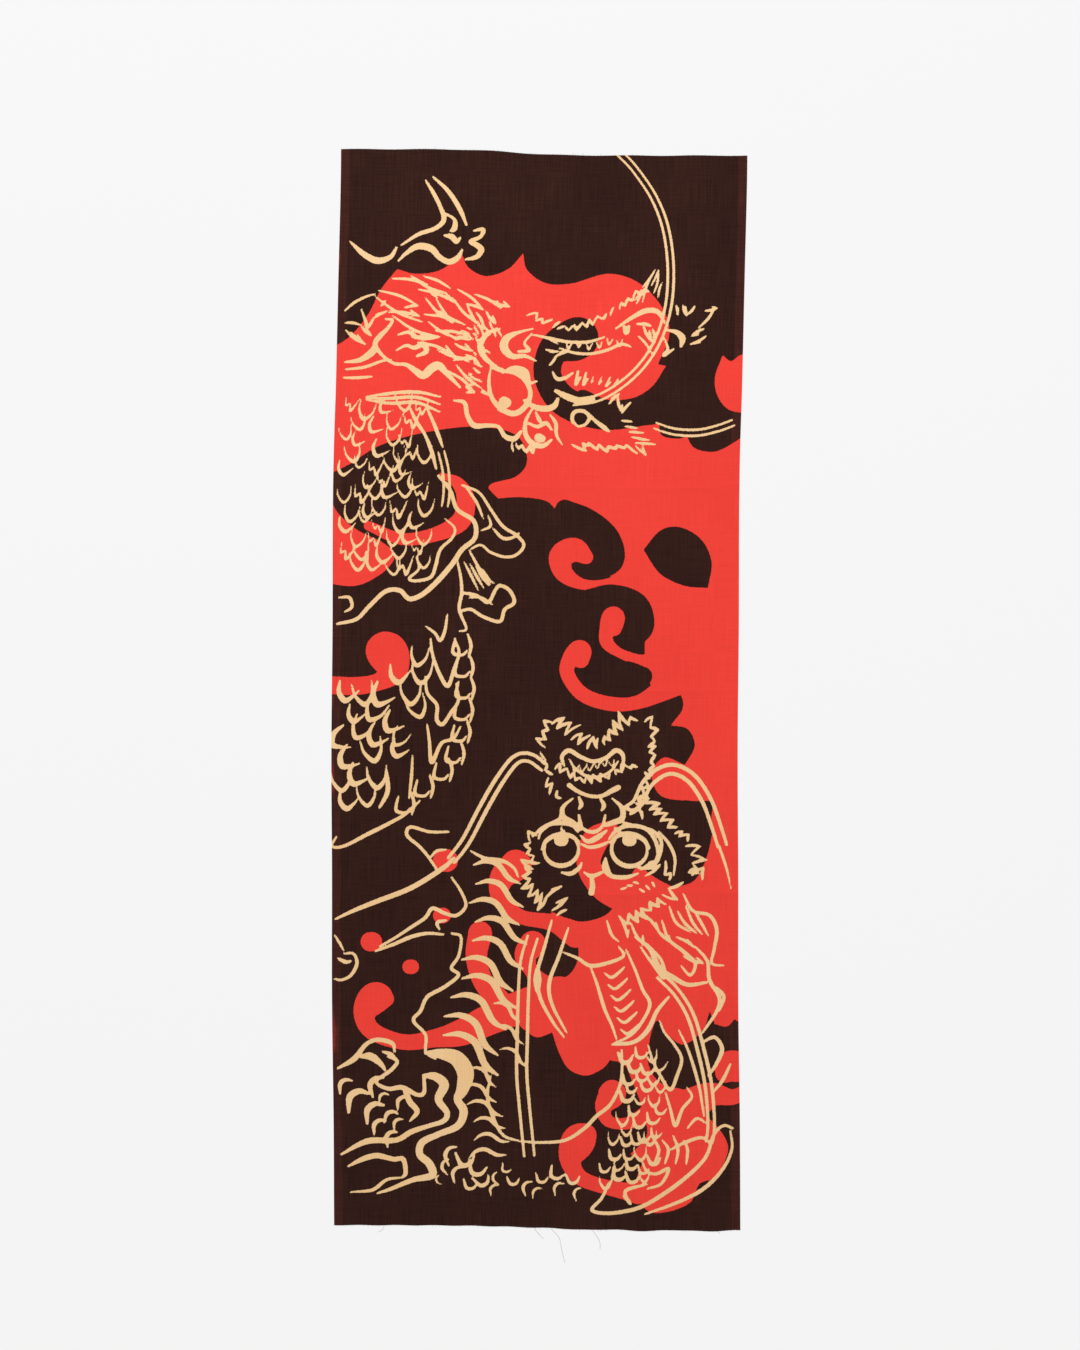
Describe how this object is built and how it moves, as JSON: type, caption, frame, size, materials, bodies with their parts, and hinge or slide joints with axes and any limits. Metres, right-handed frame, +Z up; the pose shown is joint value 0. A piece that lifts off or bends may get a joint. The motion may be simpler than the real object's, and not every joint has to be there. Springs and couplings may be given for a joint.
{
  "type": "printed cotton hand cloth",
  "caption": "Long flat rectangular printed cotton cloth with raw cut ends and five pressed creases that fold, lying flat.",
  "frame": {"origin": "below the middle of the cloth, on the surface that its underside lies on", "axes": "+X across the cloth to the right, +Y along it towards its top end, +Z up out of the printed face"},
  "size_m": [0.34, 0.9288, 0.0004],
  "materials": {
    "dyed_cotton": "matt plain weave cotton, dyed through",
    "cotton_yarn": "matt cotton yarn"
  },
  "bodies": {
    "lower_middle": {"lower_middle_panel": "dyed_cotton"},
    "upper_middle": {"upper_middle_panel": "dyed_cotton"},
    "upper": {"upper_panel": "dyed_cotton"},
    "top": {"top_flap": "dyed_cotton"},
    "lower": {"lower_panel": "dyed_cotton"},
    "bottom": {"bottom_flap": "dyed_cotton", "loose_yarn_long": "cotton_yarn", "loose_yarn_middle": "cotton_yarn", "loose_yarn_beside_long": "cotton_yarn", "loose_yarn_left": "cotton_yarn", "loose_yarn_right": "cotton_yarn"}
  },
  "joints": [
    {"name": "crease_1_top_flap", "type": "hinge", "parent": "upper", "child": "top", "pos_m": [0, 0.34, 0.0007], "axis": [1, 0, 0], "range_deg": [0, 180]},
    {"name": "crease_2_upper", "type": "hinge", "parent": "upper_middle", "child": "upper", "pos_m": [0, 0.17, 0.0012], "axis": [1, 0, 0], "range_deg": [0, 180]},
    {"name": "crease_3_middle", "type": "hinge", "parent": "lower_middle", "child": "upper_middle", "pos_m": [0, 0, 0.0017], "axis": [1, 0, 0], "range_deg": [0, 180]},
    {"name": "crease_4_lower", "type": "hinge", "parent": "lower_middle", "child": "lower", "pos_m": [0, -0.17, 0.0027], "axis": [-1, 0, 0], "range_deg": [0, 180]},
    {"name": "crease_5_bottom_flap", "type": "hinge", "parent": "lower", "child": "bottom", "pos_m": [0, -0.34, 0.0007], "axis": [-1, 0, 0], "range_deg": [0, 180]}
  ]
}
